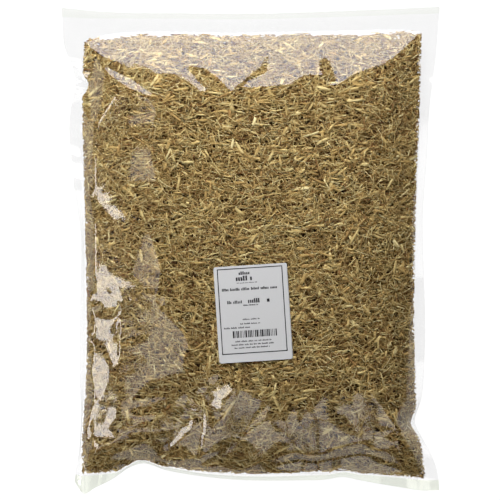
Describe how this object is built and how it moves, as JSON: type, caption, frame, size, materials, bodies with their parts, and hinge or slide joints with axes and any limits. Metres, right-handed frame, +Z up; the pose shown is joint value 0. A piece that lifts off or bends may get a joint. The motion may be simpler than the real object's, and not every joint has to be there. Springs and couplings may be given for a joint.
{
  "type": "dried poke root in a clear pouch",
  "caption": "Cut and dried poke root, packed full in a clear flat pouch with sealed edges and a plain paper label on its front, lying on its back.",
  "frame": {"origin": "on the surface that the pouch lies on, under the middle of its box", "axes": "+Z up through the front web, +Y towards the top of the pouch, +X to the right seen from the front"},
  "size_m": [0.3051, 0.3911, 0.0481],
  "materials": {
    "clear_film": "clear, glossy",
    "dried_root": "rough, fibrous",
    "label_paper": "matt, thermal coated"
  },
  "bodies": {
    "root": {"film_front": "clear_film", "film_back": "clear_film", "root_fill": "dried_root", "label": "label_paper"}
  },
  "joints": []
}
